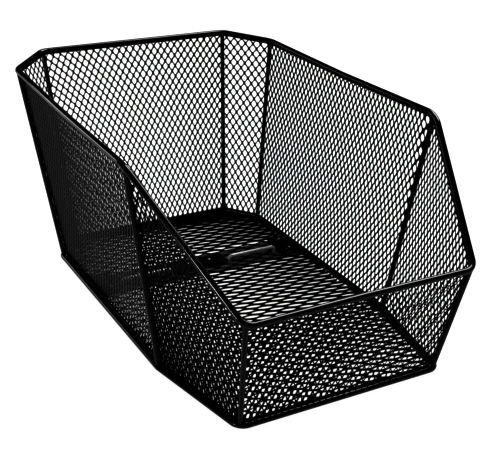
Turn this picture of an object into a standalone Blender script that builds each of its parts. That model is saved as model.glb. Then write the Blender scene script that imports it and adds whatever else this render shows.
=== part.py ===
"""Rear bicycle basket: a welded wire frame with expanded-metal walls and floor.

Metres, +Z up. X runs across the bicycle, -Y is the low front end behind the saddle and
+Y the high rear end. The origin lies on the standing plane, under the middle of the rim.
"""
from math import cos, hypot, pi, sin, tan

import bmesh
import bpy
from mathutils import Matrix, Vector

MM = 0.001

# Rim: widths across, distances back from the front rim and heights above the base wire,
# all at the middle of the wire. Behind the shoulders it drops a little and rises again.
LENGTH = 402 * MM
FRONT_RIM_WIDTH = 203 * MM
FRONT_RIM_HEIGHT = 96 * MM
SHOULDER_RIM_WIDTH = 282 * MM
SHOULDER_RIM_SETBACK = 112 * MM
SHOULDER_RIM_HEIGHT = 179.5 * MM
QUARTER_RIM_WIDTH = 266 * MM
QUARTER_RIM_INSET = 36 * MM
QUARTER_RIM_DROP = 3 * MM
QUARTER_RIM_HEIGHT = SHOULDER_RIM_HEIGHT - QUARTER_RIM_DROP
REAR_RIM_WIDTH = 192.5 * MM
REAR_RIM_RISE = 0.5 * MM
REAR_RIM_HEIGHT = SHOULDER_RIM_HEIGHT + REAR_RIM_RISE
SIDE_RIM_SAG = 1.5 * MM
FRONT_RIM_CROWN = 1 * MM

# Base wire: the same corners, on the standing plane
FRONT_BASE_WIDTH = 185 * MM
FRONT_BASE_SETBACK = 16.5 * MM
SHOULDER_BASE_WIDTH = 222 * MM
SHOULDER_BASE_SETBACK = 116 * MM
QUARTER_BASE_WIDTH = 216 * MM
QUARTER_BASE_INSET = 69.5 * MM
REAR_BASE_WIDTH = 167 * MM
REAR_BASE_INSET = 39 * MM

# Wires
RIM_WIRE_DIAMETER = 5.2 * MM
BASE_WIRE_DIAMETER = 5 * MM
STRUT_DIAMETER = 4.2 * MM
STRUT_FOOT_INSET = 0.8 * MM
RIM_FRONT_BEND_RADIUS = 11 * MM
RIM_SHOULDER_BEND_RADIUS = 28 * MM
RIM_REAR_BEND_RADIUS = 14 * MM
BASE_BEND_RADIUS = 10 * MM
BEND_STEPS = 6
WIRE_BEVEL_RESOLUTION = 4

# Expanded-metal sheets, drawn as a coarse net of diamond gaps
SEAT_GAP = 0.3 * MM
WALL_SHEET_THICKNESS = 1.2 * MM
FLOOR_SHEET_THICKNESS = 1.5 * MM
WALL_CELL_WIDTH = 34 * MM
WALL_CELL_HEIGHT = 56 * MM
FLOOR_CELL_WIDTH = 64 * MM
FLOOR_CELL_LENGTH = 36 * MM
WALL_STRAND_WIDTH = 5 * MM
FLOOR_STRAND_WIDTH = 6.5 * MM
SHEET_MARGIN = 5 * MM
CUT_OVERRUN = 6 * MM

# Rack fixture: a strap under the floor, plates and anchor bars above it
STRAP_WIDTH = 36 * MM
STRAP_THICKNESS = 1.4 * MM
STRAP_LIFT = 0.2 * MM
STRAP_SETBACK = 261 * MM
PLATE_THICKNESS = 1.6 * MM
SADDLE_PLATE_LENGTH = 56 * MM
SADDLE_PLATE_WIDTH = 17 * MM
SADDLE_RIVET_SPACING = 22 * MM
END_PLATE_REACH = 19 * MM
END_RIVET_SPACING = 20 * MM
PLATE_EDGE_ROUND = 0.4 * MM
ANCHOR_WIRE_DIAMETER = 4 * MM
ANCHOR_BAR_HEIGHT = 4.5 * MM
ANCHOR_SADDLE_CLEARANCE = 1 * MM
ANCHOR_END_CLEARANCE = 1.9 * MM
ANCHOR_BEND_RADIUS = 3.6 * MM
ANCHOR_SETBACK = 256 * MM
RIVET_SHANK_DIAMETER = 4 * MM
RIVET_HEAD_DIAMETER = 8 * MM
RIVET_HEAD_HEIGHT = 2 * MM
ROUND_STEPS = 16
DOME_STEPS = 4
SHARP_ANGLE = pi / 4
MERGE_DISTANCE = 0.01 * MM

CORNERS = ("front_left", "front_right", "shoulder_right", "quarter_right",
           "rear_right", "rear_left", "quarter_left", "shoulder_left")
WALLS = ("front", "front_right", "right", "quarter_right",
         "rear", "quarter_left", "left", "front_left")
RIVETS = ("saddle_left", "saddle_right", "left_front", "left_rear",
          "right_front", "right_rear")
PER_CORNER = BEND_STEPS + 2
HALF_BEND = BEND_STEPS // 2
RUN_STEPS = 2

BASE_LEVEL = BASE_WIRE_DIAMETER / 2
MIDDLE = LENGTH / 2
STRAP_TOP = STRAP_LIFT + STRAP_THICKNESS
FLOOR_UNDERSIDE = STRAP_TOP + SEAT_GAP
FLOOR_TOP = FLOOR_UNDERSIDE + FLOOR_SHEET_THICKNESS
WALL_FOOT = FLOOR_TOP + SEAT_GAP


def clear_scene():
    """Removes whatever the scene holds."""
    for item in list(bpy.data.objects):
        bpy.data.objects.remove(item, do_unlink=True)


def coat(name, colour, roughness, metallic):
    """A Principled finish."""
    material = bpy.data.materials.new(name)
    material.use_nodes = True
    shader = material.node_tree.nodes["Principled BSDF"]
    shader.inputs["Base Color"].default_value = (*colour, 1)
    shader.inputs["Roughness"].default_value = roughness
    shader.inputs["Metallic"].default_value = metallic
    return material


def frame_coat():
    """Near-black semi-gloss powder coat of the welded wires."""
    return coat("frame_coat", (0.018, 0.018, 0.02), 0.32, 0)


def sheet_coat():
    """The same coat on the expanded-metal sheets, a little duller."""
    return coat("sheet_coat", (0.015, 0.015, 0.017), 0.42, 0)


def plate_coat():
    """Coat of the flat rack fixture."""
    return coat("plate_coat", (0.02, 0.02, 0.022), 0.38, 0)


def rivet_coat():
    """Coat of the rivets, thinner over the steel."""
    return coat("rivet_coat", (0.03, 0.03, 0.032), 0.3, 0.2)


def place(name, data, material):
    """Puts a mesh or curve in the scene under its part name."""
    item = bpy.data.objects.new(name, data)
    item.data.materials.append(material)
    bpy.context.scene.collection.objects.link(item)
    return item


def mesh_from(bm, name):
    """Turns a bmesh into mesh data with its faces pointing out."""
    bmesh.ops.recalc_face_normals(bm, faces=bm.faces)
    data = bpy.data.meshes.new(name)
    bm.to_mesh(data)
    bm.free()
    return data


def as_cutter(name, bm):
    """Keeps a bmesh as a hidden cutter."""
    item = bpy.data.objects.new(name, mesh_from(bm, name))
    item.hide_render = True
    item.display_type = "WIRE"
    bpy.context.scene.collection.objects.link(item)
    return item


def cut(item, cutter):
    """Takes the cutter's solids out of an object."""
    modifier = item.modifiers.new(cutter.name, "BOOLEAN")
    modifier.operation = "DIFFERENCE"
    modifier.solver = "EXACT"
    modifier.object = cutter


def wire(name, points, diameter, material, closed=False):
    """A round wire through points."""
    curve = bpy.data.curves.new(name, "CURVE")
    curve.dimensions = "3D"
    curve.bevel_depth = diameter / 2
    curve.bevel_resolution = WIRE_BEVEL_RESOLUTION
    curve.use_fill_caps = True
    spline = curve.splines.new("POLY")
    spline.points.add(len(points) - 1)
    for slot, point in zip(spline.points, points):
        slot.co = (*point, 1)
    spline.use_cyclic_u = closed
    spline.use_smooth = True
    return place(name, curve, material)


def bend(before, corner, after, radius):
    """Points of the arc that rounds a corner."""
    back = (before - corner).normalized()
    ahead = (after - corner).normalized()
    half = back.angle(ahead) / 2
    reach = radius / tan(half)
    centre = corner + (back + ahead).normalized() * (radius / sin(half))
    spoke = corner + back * reach - centre
    last_spoke = corner + ahead * reach - centre
    axis = spoke.cross(last_spoke)
    turn = pi - 2 * half
    return [centre + Matrix.Rotation(turn * step / BEND_STEPS, 3, axis) @ spoke
            for step in range(BEND_STEPS + 1)]


def ring(corners, radii, lifts):
    """A closed wire's points: each corner's arc, then the middle of the run after it."""
    count = len(corners)
    arcs = [bend(corners[i - 1], corners[i], corners[(i + 1) % count], radii[i])
            for i in range(count)]
    points = []
    for i, arc in enumerate(arcs):
        following = arcs[(i + 1) % count]
        points += arc
        points.append((arc[-1] + following[0]) / 2 + Vector((0, 0, lifts[i])))
    return points


def all_round(front, shoulder, quarter, rear):
    """Eight corners from the four on the right, as width across, setback and height."""
    right = [Vector((width / 2, setback - MIDDLE, level))
             for width, setback, level in (front, shoulder, quarter, rear)]
    left = [Vector((-point.x, point.y, point.z)) for point in reversed(right)]
    return [left[-1]] + right + left[:-1]


def rim_ring():
    """Middle of the rim wire."""
    corners = all_round(
        (FRONT_RIM_WIDTH, 0, BASE_LEVEL + FRONT_RIM_HEIGHT),
        (SHOULDER_RIM_WIDTH, SHOULDER_RIM_SETBACK, BASE_LEVEL + SHOULDER_RIM_HEIGHT),
        (QUARTER_RIM_WIDTH, LENGTH - QUARTER_RIM_INSET, BASE_LEVEL + QUARTER_RIM_HEIGHT),
        (REAR_RIM_WIDTH, LENGTH, BASE_LEVEL + REAR_RIM_HEIGHT))
    ends = {"front": RIM_FRONT_BEND_RADIUS, "shoulder": RIM_SHOULDER_BEND_RADIUS,
            "quarter": RIM_REAR_BEND_RADIUS, "rear": RIM_REAR_BEND_RADIUS}
    radii = [ends[corner.split("_")[0]] for corner in CORNERS]
    lifts = {"front": FRONT_RIM_CROWN, "right": -SIDE_RIM_SAG, "left": -SIDE_RIM_SAG}
    return ring(corners, radii, [lifts.get(wall, 0) for wall in WALLS])


def base_ring():
    """Middle of the base wire."""
    corners = all_round(
        (FRONT_BASE_WIDTH, FRONT_BASE_SETBACK, BASE_LEVEL),
        (SHOULDER_BASE_WIDTH, SHOULDER_BASE_SETBACK, BASE_LEVEL),
        (QUARTER_BASE_WIDTH, LENGTH - QUARTER_BASE_INSET, BASE_LEVEL),
        (REAR_BASE_WIDTH, LENGTH - REAR_BASE_INSET, BASE_LEVEL))
    return ring(corners, [BASE_BEND_RADIUS] * len(corners), [0] * len(corners))


def tangent(points, i):
    """Direction of a closed wire at one of its points."""
    return (points[(i + 1) % len(points)] - points[i - 1]).normalized()


def inward(points, i):
    """Level direction from a closed wire's point to the inside of the basket."""
    along = tangent(points, i)
    return Vector((-along.y, along.x, 0)).normalized()


def corner_place(i):
    """Place in a ring of the middle of corner i's arc."""
    return i * PER_CORNER + HALF_BEND


def trimmed(points, i, start, axis, wire_radius):
    """Where a strut's flat end stops short of the wire that it meets at one of its points."""
    runs = (points[(i + 1) % len(points)] - points[i], points[i] - points[i - 1])
    slant = max(abs(axis.dot(run.normalized())) for run in runs)
    square = (1 - slant * slant) ** 0.5
    reach = (wire_radius + SEAT_GAP + STRUT_DIAMETER / 2 * slant) / square
    return start + axis * reach


def strut(i, rim, base, material):
    """One upright from the base wire to the rim wire at corner i."""
    at = corner_place(i)
    foot = base[at] + inward(base, at) * STRUT_FOOT_INSET
    axis = (rim[at] - foot).normalized()
    low = trimmed(base, at, foot, axis, BASE_WIRE_DIAMETER / 2)
    high = trimmed(rim, at, rim[at], -axis, RIM_WIRE_DIAMETER / 2)
    return wire("strut_" + CORNERS[i], [low, high], STRUT_DIAMETER, material)


def wall_inset(rim, base):
    """Level distance from the struts' middle to the walls' middle, inside them."""
    lean = max(hypot(*(rim[k] - base[k]).xy) / (rim[k].z - base[k].z)
               for k in map(corner_place, range(len(CORNERS))))
    clear = STRUT_DIAMETER / 2 + SEAT_GAP + WALL_SHEET_THICKNESS / 2
    return clear * hypot(1, lean)


def wall_columns(i, rim, base):
    """Foot, head and inward directions of wall i at each point between its two struts."""
    inset = wall_inset(rim, base)
    columns = []
    for step in range(PER_CORNER + 1):
        k = (corner_place(i) + step) % len(rim)
        in_low = inward(base, k)
        in_high = inward(rim, k)
        low = base[k] + in_low * (inset + STRUT_FOOT_INSET)
        high = rim[k] + in_high * inset
        slope = (high - low) / (high.z - low.z)
        low = low + slope * (WALL_FOOT - low.z)
        high = high - slope * (RIM_WIRE_DIAMETER / 2 + SEAT_GAP)
        columns.append((low, high, in_low, in_high))
    return columns


def pulled_in(columns):
    """Columns with both ends drawn in by half the gap to the next wall."""
    drawn = list(columns)
    for end, beside in ((0, 1), (-1, -2)):
        low, high, in_low, in_high = columns[end]
        low = low + (columns[beside][0] - low).normalized() * (SEAT_GAP / 2)
        high = high + (columns[beside][1] - high).normalized() * (SEAT_GAP / 2)
        drawn[end] = (low, high, in_low, in_high)
    return drawn


def diamonds(columns, rows, width, height, strand):
    """Corner points of a net's gaps, in a unit square, with half gaps along its sides."""
    opened = open_share(columns, rows, width, height, strand)
    gaps = []
    for i in range(2 * columns + 1):
        for j in range(2 * rows + 1):
            if i % 2 == j % 2:
                continue
            tips = ((i - opened, j), (i, j - opened), (i + opened, j), (i, j + opened))
            inside = [(u / 2 / columns, v / 2 / rows) for u, v in tips
                      if 0 <= u <= 2 * columns and 0 <= v <= 2 * rows]
            gaps.append(inside)
    return gaps


def open_share(columns, rows, width, height, strand):
    """Share of a net's cell, from its middle to a corner, that its gap takes."""
    half_cell = (width / columns / 2, height / rows / 2)
    across = half_cell[0] * half_cell[1] / hypot(*half_cell)
    return 1 - strand / 2 / across


def add_prism(bm, outline, reach):
    """Adds a prism through an outline, reaching as far on both sides of it."""
    face = bm.faces.new([bm.verts.new(point - reach) for point in outline])
    grown = bmesh.ops.extrude_face_region(bm, geom=[face])["geom"]
    moved = [item for item in grown if isinstance(item, bmesh.types.BMVert)]
    bmesh.ops.translate(bm, verts=moved, vec=2 * reach)


def count_cells(length, cell):
    """Whole cells that fill a length, at least one."""
    return max(1, round(length / cell))


def strand_faces(columns, rows, opened):
    """Four strands round each gap, as corners in half cells from the net's low start."""
    faces = []
    for i in range(2 * columns + 1):
        for j in range(2 * rows + 1):
            if i % 2 == j % 2:
                continue
            nodes = ((i + 1, j), (i, j + 1), (i - 1, j), (i, j - 1))
            tips = ((i + opened, j), (i, j + opened), (i - opened, j), (i, j - opened))
            for k in range(4):
                m = (k + 1) % 4
                if all(0 <= u <= 2 * columns and 0 <= v <= 2 * rows
                       for u, v in (nodes[k], nodes[m])):
                    faces.append((nodes[k], nodes[m], tips[m], tips[k]))
    return faces


def border_steps(count, opened):
    """Places along a net's side where its strands and half gaps end."""
    steps = [0]
    for middle in range(1, 2 * count, 2):
        steps += [middle - opened, middle + opened, middle + 1]
    return steps


def margin_faces(columns, rows, opened):
    """Plain strips round a net: along its foot and head, and round its two bends."""
    faces = []
    for inner, outer in ((0, -1), (2 * rows, 2 * rows + 1)):
        for middle in range(1, 2 * columns, 2):
            edge = [(middle - 1, outer), (middle + 1, outer)]
            if middle == columns:
                edge.insert(1, (middle, outer))
            faces.append(edge + [(u, inner) for u in
                                 (middle + 1, middle + opened, middle - opened, middle - 1)])
    for inner, way in ((0, -1), (2 * columns, 1)):
        side = [(inner, -1)] + [(inner, v) for v in border_steps(rows, opened)]
        side.append((inner, 2 * rows + 1))
        faces.append(side + [(inner + way, 2 * rows + 1), (inner + way, -1)])
        for step in range(1, HALF_BEND):
            near, far = inner + way * step, inner + way * (step + 1)
            faces.append([(near, -1), (near, 2 * rows + 1), (far, 2 * rows + 1), (far, -1)])
    return faces


def column_at(posts, place):
    """Foot, head and inward directions of a wall at a place between two of its columns."""
    k = min(int(place), len(posts) - 2)
    return [a.lerp(b, place - k) for a, b in zip(posts[k], posts[k + 1])]


def sheet_pair(posts, columns, rows, corner):
    """Outer and inner points of a wall's sheet at a corner of its net."""
    i, j = corner
    if i < 0:
        place = HALF_BEND + i
    elif i > 2 * columns:
        place = HALF_BEND + RUN_STEPS + i - 2 * columns
    else:
        place = HALF_BEND + RUN_STEPS * i / 2 / columns
    low, high, in_low, in_high = column_at(posts, place)
    if j < 0:
        height = 0
    elif j > 2 * rows:
        height = 1
    else:
        margin = SHEET_MARGIN / (high - low).length
        height = margin + (1 - 2 * margin) * j / 2 / rows
    middle = low.lerp(high, height)
    reach = in_low.lerp(in_high, height).normalized() * (WALL_SHEET_THICKNESS / 2)
    return middle - reach, middle + reach


def wall_shape(posts):
    """A wall's net as a closed sheet, face by face."""
    first, last = posts[HALF_BEND], posts[-1 - HALF_BEND]
    width = ((last[0] - first[0]).length + (last[1] - first[1]).length) / 2
    height = sum((post[1] - post[0]).length for post in (first, last)) / 2 - 2 * SHEET_MARGIN
    columns = count_cells(width, WALL_CELL_WIDTH)
    rows = count_cells(height, WALL_CELL_HEIGHT)
    opened = open_share(columns, rows, width, height, WALL_STRAND_WIDTH)
    faces = strand_faces(columns, rows, opened) + margin_faces(columns, rows, opened)
    bm = bmesh.new()
    pairs = {}
    uses = {}
    for face in faces:
        for corner in face:
            if corner not in pairs:
                points = sheet_pair(posts, columns, rows, corner)
                pairs[corner] = [bm.verts.new(point) for point in points]
        for side in (0, 1):
            bm.faces.new([pairs[corner][side] for corner in face])
        for edge in zip(face, face[1:] + face[:1]):
            uses.setdefault(frozenset(edge), []).append(edge)
    for (start, end), *others in uses.values():
        if not others:
            bm.faces.new((pairs[start][0], pairs[end][0], pairs[end][1], pairs[start][1]))
    return bm


def wall_mesh(i, rim, base, material):
    """One wall of expanded metal between two struts."""
    posts = pulled_in(wall_columns(i, rim, base))
    name = "mesh_" + WALLS[i]
    return place(name, mesh_from(wall_shape(posts), name), material)


def half_width(points, y):
    """Half the width of a ring at a distance along the basket."""
    right = [point for point in points if point.x > 0]
    right.sort(key=lambda point: point.y)
    for near, far in zip(right, right[1:]):
        if near.y <= y <= far.y:
            return near.x + (far.x - near.x) * (y - near.y) / (far.y - near.y)
    return right[0].x if y < right[0].y else right[-1].x


def slab(outline, low, high):
    """A level plate between two heights."""
    bm = bmesh.new()
    face = bm.faces.new([bm.verts.new((x, y, low)) for x, y in outline])
    grown = bmesh.ops.extrude_face_region(bm, geom=[face])["geom"]
    moved = [item for item in grown if isinstance(item, bmesh.types.BMVert)]
    bmesh.ops.translate(bm, verts=moved, vec=(0, 0, high - low))
    return bm


def add_floor_gaps(bm, base, start, end):
    """Adds the diamond gaps of the floor between two distances along the basket."""
    edge = BASE_WIRE_DIAMETER / 2 + SEAT_GAP + SHEET_MARGIN
    width = 2 * (half_width(base, (start + end) / 2) - edge)
    length = end - start
    level = (FLOOR_UNDERSIDE + FLOOR_TOP) / 2
    columns = count_cells(width, FLOOR_CELL_WIDTH)
    rows = count_cells(length, FLOOR_CELL_LENGTH)
    for gap in diamonds(columns, rows, width, length, FLOOR_STRAND_WIDTH):
        outline = []
        for u, v in gap:
            y = start + length * v
            outline.append(Vector(((2 * u - 1) * (half_width(base, y) - edge), y, level)))
        add_prism(bm, outline, Vector((0, 0, CUT_OVERRUN)))


def add_round_hole(bm, x, y, diameter):
    """Adds an upright round cutter through the floor and the fixture."""
    outline = [Vector((x + cos(2 * pi * k / ROUND_STEPS) * diameter / 2,
                       y + sin(2 * pi * k / ROUND_STEPS) * diameter / 2, FLOOR_TOP))
               for k in range(ROUND_STEPS)]
    add_prism(bm, outline, Vector((0, 0, CUT_OVERRUN)))


def strap_centre():
    """Middle of the strap along the basket."""
    return STRAP_SETBACK - MIDDLE


def anchor_place():
    """Middle of the anchor bars along the basket."""
    return ANCHOR_SETBACK - MIDDLE


def wall_foot(rim, base):
    """Outline inside the walls' feet, clear of them."""
    reach = wall_inset(rim, base) + STRUT_FOOT_INSET + WALL_SHEET_THICKNESS / 2 + SEAT_GAP
    return [base[k] + inward(base, k) * reach for k in range(len(base))]


def end_plate_edges(rim, base):
    """Inner and outer edges of an end plate, the outer one beside the wall."""
    outline = wall_foot(rim, base)
    front = strap_centre() - STRAP_WIDTH / 2
    rear = strap_centre() + STRAP_WIDTH / 2
    beside = [point.x for point in outline if point.x > 0 and front < point.y < rear]
    outer = min([half_width(outline, front), half_width(outline, rear)] + beside)
    return outer - END_PLATE_REACH, outer


def anchor_legs(rim, base):
    """Distances from the middle to a bar's two legs, between the plates."""
    clear = ANCHOR_WIRE_DIAMETER / 2
    inner_plate, _ = end_plate_edges(rim, base)
    return (SADDLE_PLATE_LENGTH / 2 + ANCHOR_SADDLE_CLEARANCE + clear,
            inner_plate - ANCHOR_END_CLEARANCE - clear)


def rivet_places(rim, base):
    """Where the rivets stand: two in the saddle plate and two in each end plate."""
    inner, outer = end_plate_edges(rim, base)
    centre = strap_centre()
    places = [(side * SADDLE_RIVET_SPACING / 2, centre) for side in (-1, 1)]
    for side in (-1, 1):
        places += [(side * (inner + outer) / 2, centre + step * END_RIVET_SPACING / 2)
                   for step in (-1, 1)]
    return places


def rivet_cutter(rim, base):
    """Holes for the rivets' shanks."""
    bm = bmesh.new()
    for x, y in rivet_places(rim, base):
        add_round_hole(bm, x, y, RIVET_SHANK_DIAMETER + 2 * SEAT_GAP)
    return as_cutter("cut_rivets", bm)


def leg_cutter(rim, base):
    """Holes for the anchor bars' legs."""
    bm = bmesh.new()
    for side in (-1, 1):
        for leg in anchor_legs(rim, base):
            add_round_hole(bm, side * leg, anchor_place(), ANCHOR_WIRE_DIAMETER + 2 * SEAT_GAP)
    return as_cutter("cut_legs", bm)


def floor_cutter(base):
    """Gaps of the floor in front of and behind the strap."""
    bm = bmesh.new()
    edge = BASE_WIRE_DIAMETER / 2 + SEAT_GAP + SHEET_MARGIN
    front = FRONT_BASE_SETBACK - MIDDLE + edge
    rear = MIDDLE - REAR_BASE_INSET - edge
    add_floor_gaps(bm, base, front, strap_centre() - STRAP_WIDTH / 2)
    add_floor_gaps(bm, base, strap_centre() + STRAP_WIDTH / 2, rear)
    return as_cutter("cut_floor", bm)


def floor_mesh(rim, base, rivet_holes, material):
    """The floor sheet inside the base wire."""
    inset = BASE_WIRE_DIAMETER / 2 + SEAT_GAP
    outline = [(base[k] + inward(base, k) * inset).xy for k in range(len(base))]
    bm = slab(outline, FLOOR_UNDERSIDE, FLOOR_TOP)
    sheet = place("mesh_floor", mesh_from(bm, "mesh_floor"), material)
    cut(sheet, floor_cutter(base))
    cut(sheet, leg_cutter(rim, base))
    cut(sheet, rivet_holes)
    return sheet


def flat_piece(name, left, right, front, rear, low, thickness, rivet_holes, material):
    """A flat bar or plate with rivet holes and lightly rounded edges."""
    outline = ((left, front), (right, front), (right, rear), (left, rear))
    data = mesh_from(slab(outline, low, low + thickness), name)
    item = place(name, data, material)
    edges = item.modifiers.new("edges", "BEVEL")
    edges.width = PLATE_EDGE_ROUND
    edges.segments = 1
    cut(item, rivet_holes)
    return item


def rack_strap(base, rivet_holes, material):
    """The strap under the floor, from one side of the base wire to the other."""
    centre = strap_centre()
    ends = [half_width(base, centre + side * STRAP_WIDTH / 2) for side in (-1, 1)]
    reach = min(ends) - BASE_WIRE_DIAMETER / 2 - SEAT_GAP
    return flat_piece("rack_strap", -reach, reach, centre - STRAP_WIDTH / 2,
                      centre + STRAP_WIDTH / 2, STRAP_LIFT, STRAP_THICKNESS, rivet_holes, material)


def plate_low():
    """Underside of the plates that lie on the floor."""
    return FLOOR_TOP + SEAT_GAP


def saddle_plate(rivet_holes, material):
    """The plate in the middle of the floor."""
    centre = strap_centre()
    return flat_piece("saddle_plate", -SADDLE_PLATE_LENGTH / 2, SADDLE_PLATE_LENGTH / 2,
                      centre - SADDLE_PLATE_WIDTH / 2, centre + SADDLE_PLATE_WIDTH / 2,
                      plate_low(), PLATE_THICKNESS, rivet_holes, material)


def end_plate(name, side, rim, base, rivet_holes, material):
    """The plate that holds the floor to the strap beside a wall."""
    inner, outer = end_plate_edges(rim, base)
    left, right = sorted((side * inner, side * outer))
    centre = strap_centre()
    return flat_piece(name, left, right, centre - STRAP_WIDTH / 2, centre + STRAP_WIDTH / 2,
                      plate_low(), PLATE_THICKNESS, rivet_holes, material)


def anchor_bar(name, side, legs, material):
    """A wire staple over the floor, with its two legs down to the strap."""
    foot = STRAP_TOP + SEAT_GAP
    top = BASE_LEVEL + ANCHOR_BAR_HEIGHT
    y = anchor_place()
    feet = [Vector((side * leg, y, foot)) for leg in legs]
    heads = [Vector((point.x, y, top)) for point in feet]
    points = [feet[0]]
    points += bend(feet[0], heads[0], heads[1], ANCHOR_BEND_RADIUS)
    points += bend(heads[0], heads[1], feet[1], ANCHOR_BEND_RADIUS)
    points.append(feet[1])
    return wire(name, points, ANCHOR_WIRE_DIAMETER, material)


def rivet_shape():
    """One rivet at the origin: a flush shank, and a domed head above the plates."""
    seat = plate_low() + PLATE_THICKNESS + SEAT_GAP
    shank = RIVET_SHANK_DIAMETER / 2
    head = RIVET_HEAD_DIAMETER / 2
    profile = [(0, STRAP_LIFT), (shank, STRAP_LIFT), (shank, seat)]
    for step in range(DOME_STEPS):
        angle = pi / 2 * step / DOME_STEPS
        profile.append((head * cos(angle), seat + RIVET_HEAD_HEIGHT * sin(angle)))
    profile.append((0, seat + RIVET_HEAD_HEIGHT))
    bm = bmesh.new()
    verts = [bm.verts.new((radius, 0, level)) for radius, level in profile]
    edges = [bm.edges.new(pair) for pair in zip(verts, verts[1:])]
    bmesh.ops.spin(bm, geom=verts + edges, cent=(0, 0, 0), axis=(0, 0, 1), angle=2 * pi,
                   steps=ROUND_STEPS, use_merge=True)
    bmesh.ops.remove_doubles(bm, verts=bm.verts, dist=MERGE_DISTANCE)
    data = mesh_from(bm, "rivet")
    data.shade_smooth()
    data.set_sharp_from_angle(angle=SHARP_ANGLE)
    return data


def rivets(rim, base, material):
    """All the rivets of the rack fixture."""
    shape = rivet_shape()
    shape.materials.append(material)
    for name, (x, y) in zip(RIVETS, rivet_places(rim, base)):
        item = bpy.data.objects.new("rivet_" + name, shape)
        item.location = (x, y, 0)
        bpy.context.scene.collection.objects.link(item)


def build():
    """Makes every piece of the basket."""
    clear_scene()
    wires, sheets, plates = frame_coat(), sheet_coat(), plate_coat()
    rim, base = rim_ring(), base_ring()
    wire("rim_wire", rim, RIM_WIRE_DIAMETER, wires, closed=True)
    wire("base_wire", base, BASE_WIRE_DIAMETER, wires, closed=True)
    for i in range(len(CORNERS)):
        strut(i, rim, base, wires)
        wall_mesh(i, rim, base, sheets)
    rivet_holes = rivet_cutter(rim, base)
    floor_mesh(rim, base, rivet_holes, sheets)
    rack_strap(base, rivet_holes, plates)
    saddle_plate(rivet_holes, plates)
    end_plate("end_plate_left", -1, rim, base, rivet_holes, plates)
    end_plate("end_plate_right", 1, rim, base, rivet_holes, plates)
    legs = anchor_legs(rim, base)
    anchor_bar("anchor_bar_left", -1, legs, wires)
    anchor_bar("anchor_bar_right", 1, legs, wires)
    rivets(rim, base, rivet_coat())


build()
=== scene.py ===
"""Looks of the rear bicycle basket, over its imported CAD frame. Metres, +Z up."""

from math import copysign, cos, hypot, pi, sin, tan

import bmesh
import bpy
from mathutils import Matrix, Vector


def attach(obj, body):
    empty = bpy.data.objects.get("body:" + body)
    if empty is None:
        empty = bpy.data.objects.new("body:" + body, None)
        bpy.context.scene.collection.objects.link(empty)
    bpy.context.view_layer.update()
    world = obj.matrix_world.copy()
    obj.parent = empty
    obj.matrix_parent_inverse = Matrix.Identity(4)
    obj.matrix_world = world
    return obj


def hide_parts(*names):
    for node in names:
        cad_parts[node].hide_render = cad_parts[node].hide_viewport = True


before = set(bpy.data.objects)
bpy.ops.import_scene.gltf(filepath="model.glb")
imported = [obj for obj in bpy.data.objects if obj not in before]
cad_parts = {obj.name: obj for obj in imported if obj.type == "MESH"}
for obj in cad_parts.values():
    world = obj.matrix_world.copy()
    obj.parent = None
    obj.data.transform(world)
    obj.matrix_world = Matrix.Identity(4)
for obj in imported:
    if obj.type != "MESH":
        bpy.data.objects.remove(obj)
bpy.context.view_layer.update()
MM = 0.001

# Ring wires, as in the CAD: width, setback and height of their corners on the right
LENGTH = 402 * MM
RIM_CORNERS = ((203 * MM, 0, 96 * MM), (282 * MM, 112 * MM, 179.5 * MM),
               (266 * MM, 366 * MM, 176.5 * MM), (192.5 * MM, 402 * MM, 180 * MM))
BASE_CORNERS = ((185 * MM, 16.5 * MM, 0), (222 * MM, 116 * MM, 0),
                (216 * MM, 332.5 * MM, 0), (167 * MM, 363 * MM, 0))
RIM_RADII = (11 * MM, 28 * MM, 14 * MM, 14 * MM)
BASE_RADIUS = 10 * MM
# Rise of the middle of a run of the rim
RIM_LIFTS = {"front": 1 * MM, "right": -1.5 * MM, "left": -1.5 * MM}

# Wires and levels, as in the CAD
RIM_DIAMETER = 5.2 * MM
BASE_DIAMETER = 5 * MM
STRUT_DIAMETER = 4.2 * MM
STRUT_FOOT_INSET = 0.8 * MM
SEAT_GAP = 0.3 * MM
BASE_LEVEL = BASE_DIAMETER / 2
FLOOR_UNDERSIDE = 1.9 * MM
FLOOR_TOP = 3.4 * MM
WALL_FOOT = FLOOR_TOP + SEAT_GAP

# Anchor bars, as in the CAD
BAR_DIAMETER = 4 * MM
BAR_PLACE = 55 * MM
BAR_FOOT = 1.9 * MM
BAR_TOP = 7 * MM
BAR_LEGS = (31 * MM, 81.1 * MM)
BAR_RADIUS = 3.6 * MM

# Steps of a bend where the sheets are placed, and where the round wires are made
BEND_STEPS = 6
ROUND_STEPS = 18
HALF_BEND = BEND_STEPS // 2
PER_CORNER = BEND_STEPS + 2
TUBE_SIDES = 24
# Taken off each round wire's diameter, which keeps it inside the CAD's box
ROUND_SLACK = 0.1 * MM

# Each wall runs from the corner at its own place to the next one
CORNERS = ("front_left", "front_right", "shoulder_right", "quarter_right",
           "rear_right", "rear_left", "quarter_left", "shoulder_left")
WALLS = ("front", "front_right", "right", "quarter_right",
         "rear", "quarter_left", "left", "front_left")

# Expanded metal of the walls: height of a cell, thickness and plain borders
WALL_RISE = 11.3 * MM
WALL_THICKNESS = 0.5 * MM
HEAD_HEM = 2.6 * MM
FOOT_HEM = 2.4 * MM
SIDE_HEM = 0.4 * MM

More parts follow.
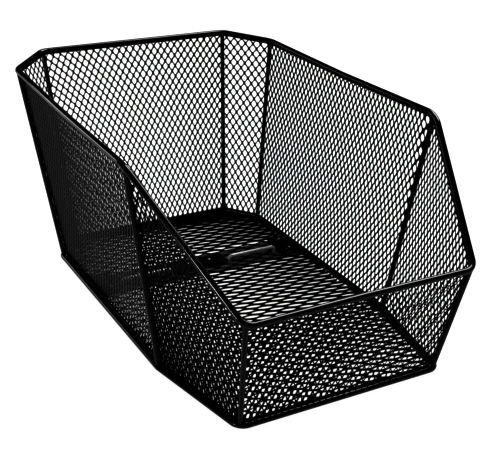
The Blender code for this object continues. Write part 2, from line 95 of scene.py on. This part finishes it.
# Each wall's pitch, its gaps' shares of a cell across and up, their point, and their twist
QUARTER_SHEET = (6.6 * MM, 0.74, 0.7, 1.5, -0.1 * MM)
WALL_SHEETS = {
    "front": (5.9 * MM, 0.72, 0.7, 1.4, 0.9 * MM),
    "front_right": (5.6 * MM, 0.42, 0.61, 1.1, 0.45 * MM),
    "right": (5.5 * MM, 0.44, 0.62, 1.2, 0.68 * MM),
    "quarter_right": QUARTER_SHEET,
    "rear": (6.1 * MM, 0.73, 0.68, 1.5, 0.25 * MM),
    "quarter_left": QUARTER_SHEET,
    "left": (5.5 * MM, 0.48, 0.64, 1.3, -0.13 * MM),
    "front_left": (5.6 * MM, 0.54, 0.66, 1.3, -0.7 * MM)}
# Shares of the twist that are gone at a wall's far end and at its top
TWIST_FADES = {"right": (0.45, 0), "front": (2, 0), "rear": (3.8, 0),
               "left": (2.3, 0), "front_left": (0.3, 1.45)}

# Half rows between a hem and the middle of the nearest row inside it
ROW_PHASE = 0.45
# Share by which rows are taller at the foot, and shorter at the head
ROW_SPREAD = 0.04
# How far the rows drop at the rim at a corner, and the power by which that fades beside it
ROW_DROPS = {"quarter_right": 9 * MM, "rear_right": 14 * MM,
             "rear_left": 20 * MM, "quarter_left": 9 * MM}
DROP_POWER = 2.5
QUARTER_DROP_POWER = 1
# The side walls' columns: lean, lean gained along the wall, and curve per metre of height
COLUMN_CURVES = {"front_right": (0, 0, 0.55), "right": (-0.244, 0.17, 1.1),
                 "left": (0, 0, -0.55), "front_left": (0, 0, -0.55)}
# The rear wall's columns fan out by the square of the height, from this share of the width
REAR_FAN = 0.82
REAR_FAN_SHARE = 0.33
# Half cells beyond each side, and rows above the top, that are cut off
WALL_OVERRUN = 14
ROWS_OVER = 4

# Expanded metal of the floor: its net is turned, and its gaps are shares of a cell
FLOOR_PITCH = 17.5 * MM
FLOOR_RISE = 10.5 * MM
FLOOR_TURN = -0.085
FLOOR_OPEN = (0.84, 0.84)
FLOOR_POINT = 1.2
FLOOR_TWIST = -1.35 * MM
FLOOR_THICKNESS = 0.7 * MM
FLOOR_EDGE = 2.9 * MM
FLOOR_BORDER = 3 * MM
# Half cells beyond each side, and rows beyond the front and the rear, that are cut off
FLOOR_OVERRUN = 8
FLOOR_ROWS_OVER = 2
# A side of the floor is a rear one where it runs to the left by more than this share
REAR_SLANT = 0.3

# The strap's middle, and how far from it the strands stop lying flat, and are free
STRAP_CENTRE = 60 * MM
FLAT_REACH = (18 * MM, 19.5 * MM)
# How far the strands reach below and above the floor's middle there, and how much more if free
STRAP_ROOM = (0.35 * MM, 0.6 * MM)
FREE_ROOM = 1.85 * MM
# How much steeper the strands stand per metre to the right, and per metre behind the start
TILT_ACROSS = 3.6
TILT_START = 132 * MM
TILT_BEHIND = 22

# How nets are made: points round a gap, a cell's corners in half cells, and tolerances
HOLE_POINTS = 12
CELL_CORNERS = ((1, 0), (0, 1), (-1, 0), (0, -1))
MERGE_DISTANCE = 0.01 * MM
TRIM_SLACK = 3 * MERGE_DISTANCE
CREASE_ANGLE = 0.7

# Each coat's colour, specular level, roughness, scale and strength of its peel, and wear
BLACK = (0.0022, 0.0022, 0.0024)
COATS = {
    "frame_coat": (BLACK, 0.3, 0.1, 900, 0.12, 0.25),
    "sheet_coat": ((0.0018, 0.0018, 0.002), 0.04, 0.22, 1100, 0.2, 0.25),
    "plate_coat": (BLACK, 0.5, 0.25, 900, 0.2, 0.25),
    "rim_coat": (BLACK, 0.33, 0.08, 900, 0.1, 0.25),
    # The bars' light grey is partly a paler plated finish and partly a painted highlight along
    # the rods
    "bar_coat_painted_highlight": ((0.3, 0.3, 0.305), 1, 0.25, 900, 0.12, 0.15),
    # The strap's grey is painted reflection: the white room that its dark gloss would show
    # through the floor's gaps
    "strap_coat_painted_reflection": ((0.08, 0.08, 0.082), 0.2, 0.4, 900, 0.2, 0.2),
    "rivet_coat": ((0.004, 0.004, 0.0042), 0.5, 0.2, 900, 0.15, 0.2)}
# The coat of the CAD solids that stay in view, by the start of their names
SOLID_COATS = {"rivet": "rivet_coat", "rack_strap": "strap_coat_painted_reflection",
               "saddle_plate": "plate_coat", "end_plate": "plate_coat"}

# What all coats share: the peel, and a noise that changes the tone and the sheen
COAT_IOR = 1.5
PEEL_DETAIL = 3
PEEL_HEIGHT = 0.05 * MM
CLOUD_SCALE = 45
CLOUD_DETAIL = 4
TONE_STOPS = (0.3, 0.75)
SHEEN_STOPS = (0.3, 0.7)
SHEEN_CHANGES = (-0.05, 0.07)

# Ground and light
GROUND_REACH = 6
GROUND_COLOUR = (0.06, 0.06, 0.06, 1)
GROUND_ROUGHNESS = 0.9
GROUND_GLOW = 0.96
WHITE = (1, 1, 1, 1)
ROOM_STRENGTH = 1
VIEW_GAMMA = 0.5
# Each lamp's place, target, side and power
LAMPS = {
    "overhead_right": ((0.85, 0.35, 1.4), (0, -0.1, 0.1), 0.9, 45),
    "low_left": ((-1.26, -0.33, 0.17), (-0.12, -0.14, 0.14), 0.2, 8),
    "low_rear_left": ((-0.8, 1.2, 0.26), (-0.14, 0.04, 0.18), 0.45, 3.5)}

# Camera, with its sensor in millimetres as the camera takes it
CAMERA_PLACE = Vector((-429.0 * MM, -745.05 * MM, 473.0 * MM))
CAMERA_TARGET = Vector((5.2 * MM, -24.1 * MM, 75.2 * MM))
CAMERA_ROLL = -0.0483
FOCAL_PIXELS = 1078.86
FRAME_PIXELS = 500
SENSOR_WIDTH = 36
CLIP_START = 0.01
CLIP_END = 50


# Routes of the ring wires

def bend(before, corner, after, radius, steps):
    """Points of the arc that rounds a corner."""
    back = (before - corner).normalized()
    ahead = (after - corner).normalized()
    half = back.angle(ahead) / 2
    centre = corner + (back + ahead).normalized() * (radius / sin(half))
    spoke = corner + back * radius / tan(half) - centre
    last_spoke = corner + ahead * radius / tan(half) - centre
    axis = spoke.cross(last_spoke)
    return [centre + Matrix.Rotation((pi - 2 * half) * k / steps, 3, axis) @ spoke
            for k in range(steps + 1)]


def all_corners(listed):
    """A ring wire's eight corners, from the four listed ones on the right."""
    right = [Vector((width / 2, setback - LENGTH / 2, BASE_LEVEL + height))
             for width, setback, height in listed]
    left = [Vector((-point.x, point.y, point.z)) for point in reversed(right)]
    return [left[-1]] + right + left[:-1]


def ring(listed, radii, lifts, steps):
    """A ring wire's points: each corner's arc, then the middle of the run after it."""
    corners = all_corners(listed)
    around = [radii[0]] + list(radii) + list(reversed(radii))[:-1]
    count = len(corners)
    arcs = [bend(corners[k - 1], corners[k], corners[(k + 1) % count], around[k], steps)
            for k in range(count)]
    points = []
    for k, arc in enumerate(arcs):
        points += arc
        middle = (arc[-1] + arcs[(k + 1) % count][0]) / 2
        points.append(middle + Vector((0, 0, lifts.get(WALLS[k], 0))))
    return points


def rim_ring(steps):
    """The rim wire's points."""
    return ring(RIM_CORNERS, RIM_RADII, RIM_LIFTS, steps)


def base_ring(steps):
    """The base wire's points."""
    return ring(BASE_CORNERS, (BASE_RADIUS,) * len(BASE_CORNERS), {}, steps)


RIM = rim_ring(BEND_STEPS)
BASE = base_ring(BEND_STEPS)


def inward(points, i):
    """Level direction from a ring's point to the inside."""
    along = points[(i + 1) % len(points)] - points[i - 1]
    return Vector((-along.y, along.x, 0)).normalized()


def corner_place(i):
    """Place in a ring of the middle of corner i's arc."""
    return i * PER_CORNER + HALF_BEND


# Places on the walls

def wall_inset():
    """Level distance from the struts' middle to the sheets' middle, where both touch."""
    places = [corner_place(i) for i in range(len(CORNERS))]
    lean = max(hypot(*(RIM[k] - BASE[k]).xy) / (RIM[k].z - BASE[k].z) for k in places)
    return (STRUT_DIAMETER + WALL_THICKNESS) / 2 * hypot(1, lean)


def wall_posts(i):
    """Foot, head and inward directions of wall i at each point between two struts."""
    posts = []
    for step in range(PER_CORNER + 1):
        k = (corner_place(i) + step) % len(RIM)
        in_low, in_high = inward(BASE, k), inward(RIM, k)
        low = BASE[k] + in_low * (wall_inset() + STRUT_FOOT_INSET)
        high = RIM[k] + in_high * wall_inset()
        low = low + (high - low) * ((WALL_FOOT - low.z) / (high.z - low.z))
        posts.append((low, high, in_low, in_high))
    return posts


def along_wall(posts):
    """Distance along a wall of each of its posts, at the wall's mean height."""
    places = [0]
    for a, b in zip(posts, posts[1:]):
        places.append(places[-1] + ((b[0] - a[0]).length + (b[1] - a[1]).length) / 2)
    return places


def post_at(posts, places, x):
    """Foot, head and inward directions of a wall at a distance along it."""
    k = 0
    while k < len(posts) - 2 and x > places[k + 1]:
        k += 1
    share = min(max((x - places[k]) / (places[k + 1] - places[k]), 0), 1)
    return [a.lerp(b, share) for a, b in zip(posts[k], posts[k + 1])]


# Flat nets of expanded metal

def hole_outline(open_x, open_y, point):
    """A gap's points round its cell's middle, in half cells: round at 1, a rhombus at 2."""
    points = []
    for k in range(HOLE_POINTS):
        angle = 2 * pi * k / HOLE_POINTS
        points.append((copysign(open_x * abs(cos(angle)) ** point, cos(angle)),
                       copysign(open_y * abs(sin(angle)) ** point, sin(angle))))
    return points


def cell_border():
    """The rhombus round a cell, with a point for each of its gap's points."""
    corners = len(CELL_CORNERS)
    steps = HOLE_POINTS // corners
    points = []
    for k in range(corners):
        (x0, y0), (x1, y1) = CELL_CORNERS[k], CELL_CORNERS[(k + 1) % corners]
        points += [(x0 + (x1 - x0) * n / steps, y0 + (y1 - y0) * n / steps)
                   for n in range(steps)]
    return points


def flat_net(columns, rows, half_x, half_y, opened, point, twist, twist_across, overrun,
             plain=None):
    """A flat expanded-metal net that overruns its columns by some half cells.

    Each gap's edge rises by twist from its middle to the right, or else to the far side.
    Cells for whose middle plain is true get no gap.
    """
    open_x, open_y = opened
    hole, border = hole_outline(open_x, open_y, point), cell_border()
    bm = bmesh.new()
    shared = {}

    def vertex(x, y):
        key = (round(x * HOLE_POINTS), round(y * HOLE_POINTS))
        if key not in shared:
            shared[key] = bm.verts.new((x * half_x, y * half_y, 0))
        return shared[key]

    for i in range(-overrun, 2 * columns + overrun + 1):
        for j in range(-1, 2 * rows + 2):
            if i % 2 == j % 2:
                continue
            outer = [vertex(i + x, j + y) for x, y in border]
            if plain and plain(i * half_x, j * half_y):
                bm.faces.new(outer)
                continue
            inner = [bm.verts.new(((i + x) * half_x, (j + y) * half_y,
                                   (x / open_x if twist_across else y / open_y) * twist))
                     for x, y in hole]
            for k in range(HOLE_POINTS):
                m = (k + 1) % HOLE_POINTS
                bm.faces.new((outer[k], outer[m], inner[m], inner[k]))
    return bm


def sides(outline):
    """Each side of an outline, as its start and end."""
    return zip(outline, outline[1:] + outline[:1])


def rectangle(low_x, high_x, low_y, high_y):
    """The four corners of a rectangle."""
    return [Vector(corner) for corner in
            ((low_x, low_y), (high_x, low_y), (high_x, high_y), (low_x, high_y))]


def trim(bm, outline):
    """Cuts a flat net off outside a convex outline."""
    for start, end in sides(outline):
        along = end - start
        bmesh.ops.bisect_plane(bm, geom=list(bm.verts) + list(bm.edges) + list(bm.faces),
                               dist=MERGE_DISTANCE, plane_co=(*start, 0),
                               plane_no=(along.y, -along.x, 0), clear_outer=True)


def add_border(bm, inner, outer):
    """Adds a plain border between a trimmed net's outline and the sheet's edge."""
    chain = []
    for (start, end), (outer_start, outer_end) in zip(sides(inner), sides(outer)):
        length = (end - start).length
        along = (end - start) / length
        found = []
        corner = None
        for v in bm.verts:
            reach = v.co.xy - start
            if abs(reach.x * along.y - reach.y * along.x) > TRIM_SLACK:
                continue
            place = reach.dot(along)
            if abs(place) <= TRIM_SLACK:
                corner = v
            elif TRIM_SLACK < place < length - TRIM_SLACK:
                found.append((place / length, v))
        chain.append((corner or bm.verts.new((*start, 0)), outer_start))
        chain += [(v, outer_start.lerp(outer_end, share))
                  for share, v in sorted(found, key=lambda entry: entry[0])]
    pairs = [(v, bm.verts.new((*place, 0))) for v, place in chain]
    for (a, a_out), (b, b_out) in sides(pairs):
        bm.faces.new((a_out, b_out, b, a))


def thicken(bm, thickness):
    """Makes a net's faces a closed sheet of a thickness."""
    tops = {v: bm.verts.new(v.co + Vector((0, 0, thickness / 2))) for v in list(bm.verts)}
    faces = list(bm.faces)
    loops = [e.link_loops[0] for e in bm.edges if len(e.link_faces) == 1]
    edges = [(loop.vert, loop.link_loop_next.vert) for loop in loops]
    for face in faces:
        bm.faces.new([tops[v] for v in face.verts])
    for a, b in edges:
        bm.faces.new((a, b, tops[b], tops[a]))
    bmesh.ops.reverse_faces(bm, faces=faces)
    for v in tops:
        v.co.z -= thickness / 2


# Objects and finishes

def added(name, data):
    """A new object in the scene."""
    item = bpy.data.objects.new(name, data)
    bpy.context.scene.collection.objects.link(item)
    return item


def finish_mesh(bm, name):
    """Turns a bmesh into a smooth-shaded object with crisp cut edges."""
    bmesh.ops.recalc_face_normals(bm, faces=bm.faces)
    data = bpy.data.meshes.new(name)
    bm.to_mesh(data)
    bm.free()
    data.shade_smooth()
    data.set_sharp_from_angle(angle=CREASE_ANGLE)
    return added(name, data)


def noise(tree, where, scale, detail):
    """A noise texture in the piece's own coordinates."""
    node = tree.nodes.new("ShaderNodeTexNoise")
    node.inputs["Scale"].default_value = scale
    node.inputs["Detail"].default_value = detail
    tree.links.new(where.outputs["Object"], node.inputs["Vector"])
    return node


def powder_coat(name, colour, specular, roughness, grain, bump, wear):
    """Powder coat: fine orange peel, and a slightly uneven tone and sheen."""
    material = bpy.data.materials.new(name)
    material.use_nodes = True
    tree = material.node_tree
    shader = tree.nodes["Principled BSDF"]
    shader.inputs["Metallic"].default_value = 0
    shader.inputs["IOR"].default_value = COAT_IOR
    shader.inputs["Specular IOR Level"].default_value = specular
    where = tree.nodes.new("ShaderNodeTexCoord")
    peel = noise(tree, where, grain, PEEL_DETAIL)
    cloud = noise(tree, where, CLOUD_SCALE, CLOUD_DETAIL)
    tone = tree.nodes.new("ShaderNodeValToRGB")
    for stop, place, change in zip(tone.color_ramp.elements, TONE_STOPS, (-wear, wear)):
        stop.position = place
        stop.color = (*[c * (1 + change) for c in colour], 1)
    sheen = tree.nodes.new("ShaderNodeMapRange")
    for end, stop, change in zip(("Min", "Max"), SHEEN_STOPS, SHEEN_CHANGES):
        sheen.inputs["From " + end].default_value = stop
        sheen.inputs["To " + end].default_value = roughness + change
    bumps = tree.nodes.new("ShaderNodeBump")
    bumps.inputs["Strength"].default_value = bump
    bumps.inputs["Distance"].default_value = PEEL_HEIGHT
    link = tree.links.new
    link(cloud.outputs["Fac"], tone.inputs["Fac"])
    link(tone.outputs["Color"], shader.inputs["Base Color"])
    link(cloud.outputs["Fac"], sheen.inputs["Value"])
    link(sheen.outputs["Result"], shader.inputs["Roughness"])
    link(peel.outputs["Fac"], bumps.inputs["Height"])
    link(bumps.outputs["Normal"], shader.inputs["Normal"])
    return material


def painted(item, material):
    """Gives an object one material."""
    item.data.materials.clear()
    item.data.materials.append(material)


def coated(item, material):
    """Gives a piece its finish and fixes it to the basket."""
    painted(item, material)
    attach(item, "root")


# Walls

def row_drop(i, share):
    """How far the rows drop at the rim, at a share of the way along wall i."""
    start, end = [ROW_DROPS.get(CORNERS[k % len(CORNERS)], 0) for k in (i, i + 1)]
    power = QUARTER_DROP_POWER if WALLS[i].startswith("quarter") else DROP_POWER
    return start * (1 - share) ** power + end * share ** power


def shape_rows(bm, i, width, netted, half_rise):
    """Shapes wall i's rows and strands, and fans out the rear wall's columns."""
    along, upward = TWIST_FADES.get(WALLS[i], (0, 0))
    fan = REAR_FAN if WALLS[i] == "rear" else 0
    for v in bm.verts:
        up = (v.co.y / half_rise - 1 + ROW_PHASE) * half_rise
        share = min(max(v.co.x / width, 0), 1)
        height = max(up / netted, 0)
        v.co.z *= 1 - along * share - upward * height
        up += (ROW_SPREAD * (netted - up) - row_drop(i, share)) * height
        v.co.y = FOOT_HEM + up
        v.co.x += fan * (v.co.x / width - REAR_FAN_SHARE) * max(up, 0) ** 2


def straighten(bm, posts, width, lean, lean_gain, curve):
    """Evens out a net's columns on a wall that widens upward, and leans and curves them."""
    run = posts[-1][0] - posts[0][0]
    foot = run.length
    leans = [(post[1] - post[0]).dot(run) / foot / (post[1] - post[0]).length
             for post in (posts[0], posts[-1])]
    for v in bm.verts:
        up = max(v.co.y, 0)
        tilt = lean + lean_gain * (v.co.x / width) ** 2
        x = v.co.x - (width - foot) / 2 + tilt * up + curve * up * up
        v.co.x = width * (x - leans[0] * up) / (foot + (leans[1] - leans[0]) * up)


def stretch(posts, places, netted, x):
    """How much taller a wall's net is at its highest post than at a distance along it."""
    low, high, _, _ = post_at(posts, places, x)
    return netted / ((high - low).length - HEAD_HEM - FOOT_HEM)


def wall_net(i, posts, places):
    """Flat net of wall i with plain borders, cut to the rim."""
    width = places[-1]
    top = max((post[1] - post[0]).length for post in posts)
    netted = top - HEAD_HEM - FOOT_HEM
    pitch, open_x, open_y, point, twist = WALL_SHEETS[WALLS[i]]
    columns = round(width / pitch)
    half_rows = round(2 * netted / WALL_RISE - 2 * ROW_PHASE)
    half_rise = netted / (half_rows + 2 * ROW_PHASE)
    bm = flat_net(columns, half_rows // 2 + ROWS_OVER, width / columns / 2, half_rise,
                  (open_x, open_y), point, twist, True, WALL_OVERRUN)
    shape_rows(bm, i, width, netted, half_rise)
    if WALLS[i] in COLUMN_CURVES:
        straighten(bm, posts, width, *COLUMN_CURVES[WALLS[i]])
    if WALLS[i].startswith("front"):
        for v in bm.verts:
            v.co.y = FOOT_HEM + (v.co.y - FOOT_HEM) * stretch(posts, places, netted, v.co.x)
    inner = rectangle(SIDE_HEM, width - SIDE_HEM, FOOT_HEM, top - HEAD_HEM)
    trim(bm, inner)
    add_border(bm, inner, rectangle(0, width, 0, top))
    for v in bm.verts:
        if v.co.y > FOOT_HEM:
            above = max(v.co.y - FOOT_HEM - netted, 0)
            up = (v.co.y - above - FOOT_HEM) / stretch(posts, places, netted, v.co.x)
            v.co.y = FOOT_HEM + up + above
    return bm


def place_on_wall(bm, posts, places):
    """Bends a flat net onto a wall."""
    for v in bm.verts:
        low, high, in_low, in_high = post_at(posts, places, v.co.x)
        up = v.co.y / (high - low).length
        v.co = low.lerp(high, up) + in_low.lerp(in_high, up).normalized() * v.co.z


def wall_piece(i, material):
    """One wall of fine expanded metal, in place of its coarse net."""
    posts = wall_posts(i)
    places = along_wall(posts)
    bm = wall_net(i, posts, places)
    thicken(bm, WALL_THICKNESS)
    place_on_wall(bm, posts, places)
    item = finish_mesh(bm, "expanded_" + WALLS[i])
    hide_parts("mesh_" + WALLS[i])
    coated(item, material)


# Floor

def inside_base(inset):
    """Outline at a level distance inside the base wire's middle."""
    return [(BASE[k] + inward(BASE, k) * inset).xy for k in range(len(BASE))]


def past_rear(point, outline):
    """Whether a point lies outside an outline's rear edge or rear corners."""
    for a, b in sides(outline):
        along = (b - a).normalized()
        out = (point - a).x * along.y - (point - a).y * along.x
        if along.x < -REAR_SLANT and out > 0:
            return True
    return False


def tilt_strands(bm):
    """Steepens the floor's strands to the right and the rear, and flattens them at the strap."""
    for v in bm.verts:
        away = (abs(v.co.y - STRAP_CENTRE) - FLAT_REACH[0]) / (FLAT_REACH[1] - FLAT_REACH[0])
        free = min(max(away, 0), 1) * FREE_ROOM
        steeper = TILT_ACROSS * v.co.x + TILT_BEHIND * max(v.co.y - TILT_START, 0)
        tilted = v.co.z * (1 + steeper)
        v.co.z = min(max(tilted, -STRAP_ROOM[0] - free), STRAP_ROOM[1] + free)


def floor_piece(material):
    """The floor of coarser expanded metal, its long gaps across the basket."""
    outer = inside_base(FLOOR_EDGE)
    inner = inside_base(FLOOR_EDGE + FLOOR_BORDER)
    low_x, high_x = min(p.x for p in outer), max(p.x for p in outer)
    low_y, high_y = min(p.y for p in outer), max(p.y for p in outer)
    columns = round((high_x - low_x) / FLOOR_PITCH)
    rows = round((high_y - low_y) / FLOOR_RISE)
    half_x = (high_x - low_x) / columns / 2
    half_y = (high_y - low_y) / rows / 2
    start = Vector((low_x, low_y - 2 * FLOOR_ROWS_OVER * half_y))
    centre = Vector(((low_x + high_x) / 2, (low_y + high_y) / 2))
    turn = Matrix.Rotation(FLOOR_TURN, 2)

    def cut_behind(x, y):
        """Whether a cell's gap would be cut by the floor's rear edge or rear corners."""
        ends = [Vector((x + across * half_x * FLOOR_OPEN[0], y + back * half_y * FLOOR_OPEN[1]))
                for across, back in CELL_CORNERS]
        return any(past_rear(centre + turn @ (start + end - centre), inner) for end in ends)

    bm = flat_net(columns, rows + 2 * FLOOR_ROWS_OVER, half_x, half_y, FLOOR_OPEN,
                  FLOOR_POINT, FLOOR_TWIST, False, FLOOR_OVERRUN, cut_behind)
    bmesh.ops.translate(bm, verts=bm.verts, vec=(*start, 0))
    bmesh.ops.rotate(bm, verts=bm.verts, cent=(*centre, 0),
                     matrix=Matrix.Rotation(FLOOR_TURN, 3, "Z"))
    tilt_strands(bm)
    trim(bm, inner)
    add_border(bm, inner, outer)
    thicken(bm, FLOOR_THICKNESS)
    bmesh.ops.translate(bm, verts=bm.verts, vec=(0, 0, (FLOOR_UNDERSIDE + FLOOR_TOP) / 2))
    item = finish_mesh(bm, "expanded_floor")
    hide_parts("mesh_floor")
    coated(item, material)


# Wires

def tube(name, points, diameter, closed, guide, material):
    """A round wire through points, which never runs along its guide direction."""
    radius = (diameter - ROUND_SLACK) / 2
    count = len(points)
    bm = bmesh.new()
    rings = []
    for k, point in enumerate(points):
        before = points[k - 1] if closed else points[max(k - 1, 0)]
        after = points[(k + 1) % count] if closed else points[min(k + 1, count - 1)]
        side = (after - before).cross(guide).normalized()
        top = side.cross(after - before).normalized()
        rings.append([bm.verts.new(point + (side * cos(angle) + top * sin(angle)) * radius)
                      for angle in (2 * pi * n / TUBE_SIDES for n in range(TUBE_SIDES))])
    pairs = list(zip(rings, rings[1:])) + ([(rings[-1], rings[0])] if closed else [])
    for a, b in pairs:
        for n in range(TUBE_SIDES):
            m = (n + 1) % TUBE_SIDES
            bm.faces.new((a[n], a[m], b[m], b[n]))
    if not closed:
        bm.faces.new(rings[0])
        bm.faces.new(rings[-1])
    item = finish_mesh(bm, "round_" + name)
    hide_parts(name)
    coated(item, material)


def ring_wires(rim_material, base_material):
    """The closed wires round the rim and the base."""
    upward = Vector((0, 0, 1))
    tube("rim_wire", rim_ring(ROUND_STEPS), RIM_DIAMETER, True, upward, rim_material)
    tube("base_wire", base_ring(ROUND_STEPS), BASE_DIAMETER, True, upward, base_material)


def struts(material):
    """The uprights at the eight corners, which run into both ring wires."""
    for i, corner in enumerate(CORNERS):
        k = corner_place(i)
        foot = BASE[k] + inward(BASE, k) * STRUT_FOOT_INSET
        tube("strut_" + corner, [foot, RIM[k]], STRUT_DIAMETER, False, Vector((1, 0, 0)),
             material)


def anchor_bars(material):
    """The wire staples between the saddle plate and the end plates."""
    for side, name in ((-1, "left"), (1, "right")):
        feet = [Vector((side * leg, BAR_PLACE, BAR_FOOT)) for leg in BAR_LEGS]
        heads = [Vector((foot.x, foot.y, BAR_TOP)) for foot in feet]
        points = ([feet[0]] + bend(feet[0], heads[0], heads[1], BAR_RADIUS, ROUND_STEPS)
                  + bend(heads[0], heads[1], feet[1], BAR_RADIUS, ROUND_STEPS) + [feet[1]])
        tube("anchor_bar_" + name, points, BAR_DIAMETER, False, Vector((0, 1, 0)), material)


def dress():
    """Puts the fine sheets, the round wires and the finishes on the frame."""
    coats = {name: powder_coat(name, *values) for name, values in COATS.items()}
    for i in range(len(WALLS)):
        wall_piece(i, coats["sheet_coat"])
    floor_piece(coats["sheet_coat"])
    ring_wires(coats["rim_coat"], coats["frame_coat"])
    struts(coats["frame_coat"])
    anchor_bars(coats["bar_coat_painted_highlight"])
    for name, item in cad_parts.items():
        for start, coat in SOLID_COATS.items():
            if name.startswith(start):
                painted(item, coats[coat])


# Surroundings

def stage_floor():
    """Plain pale surface under the basket, whose glow hides the shadow."""
    bm = bmesh.new()
    bmesh.ops.create_grid(bm, x_segments=1, y_segments=1, size=GROUND_REACH)
    data = bpy.data.meshes.new("ground")
    bm.to_mesh(data)
    bm.free()
    ground = added("ground", data)
    material = bpy.data.materials.new("pale_ground")
    material.use_nodes = True
    shader = material.node_tree.nodes["Principled BSDF"]
    shader.inputs["Base Color"].default_value = GROUND_COLOUR
    shader.inputs["Roughness"].default_value = GROUND_ROUGHNESS
    shader.inputs["Specular IOR Level"].default_value = 0
    shader.inputs["Emission Color"].default_value = WHITE
    shader.inputs["Emission Strength"].default_value = GROUND_GLOW
    painted(ground, material)


def lamp(name, place, target, size, power):
    """A soft square studio light."""
    data = bpy.data.lights.new(name, "AREA")
    data.size = size
    data.energy = power
    item = added(name, data)
    item.location = place
    item.rotation_euler = (Vector(target) - Vector(place)).to_track_quat("-Z", "Y").to_euler()


def studio():
    """Bright even room light that doesn't show in reflections, and the lamps."""
    world = bpy.data.worlds.new("room")
    world.use_nodes = True
    world.node_tree.nodes["Background"].inputs["Color"].default_value = WHITE
    world.node_tree.nodes["Background"].inputs["Strength"].default_value = ROOM_STRENGTH
    bpy.context.scene.world = world
    world.cycles_visibility.glossy = False
    bpy.context.scene.view_settings.view_transform = "Standard"
    bpy.context.scene.view_settings.gamma = VIEW_GAMMA
    for name, values in LAMPS.items():
        lamp(name, *values)


def camera():
    """The camera, at the photograph's angle."""
    data = bpy.data.cameras.new("camera")
    data.sensor_width = SENSOR_WIDTH
    data.sensor_fit = "HORIZONTAL"
    data.lens = FOCAL_PIXELS / FRAME_PIXELS * SENSOR_WIDTH
    data.clip_start = CLIP_START
    data.clip_end = CLIP_END
    item = added("camera", data)
    item.location = CAMERA_PLACE
    look = (CAMERA_TARGET - CAMERA_PLACE).to_track_quat("-Z", "Y").to_matrix()
    item.rotation_euler = (look @ Matrix.Rotation(-CAMERA_ROLL, 3, "Z")).to_euler()
    bpy.context.scene.camera = item


camera()
studio()
stage_floor()
dress()
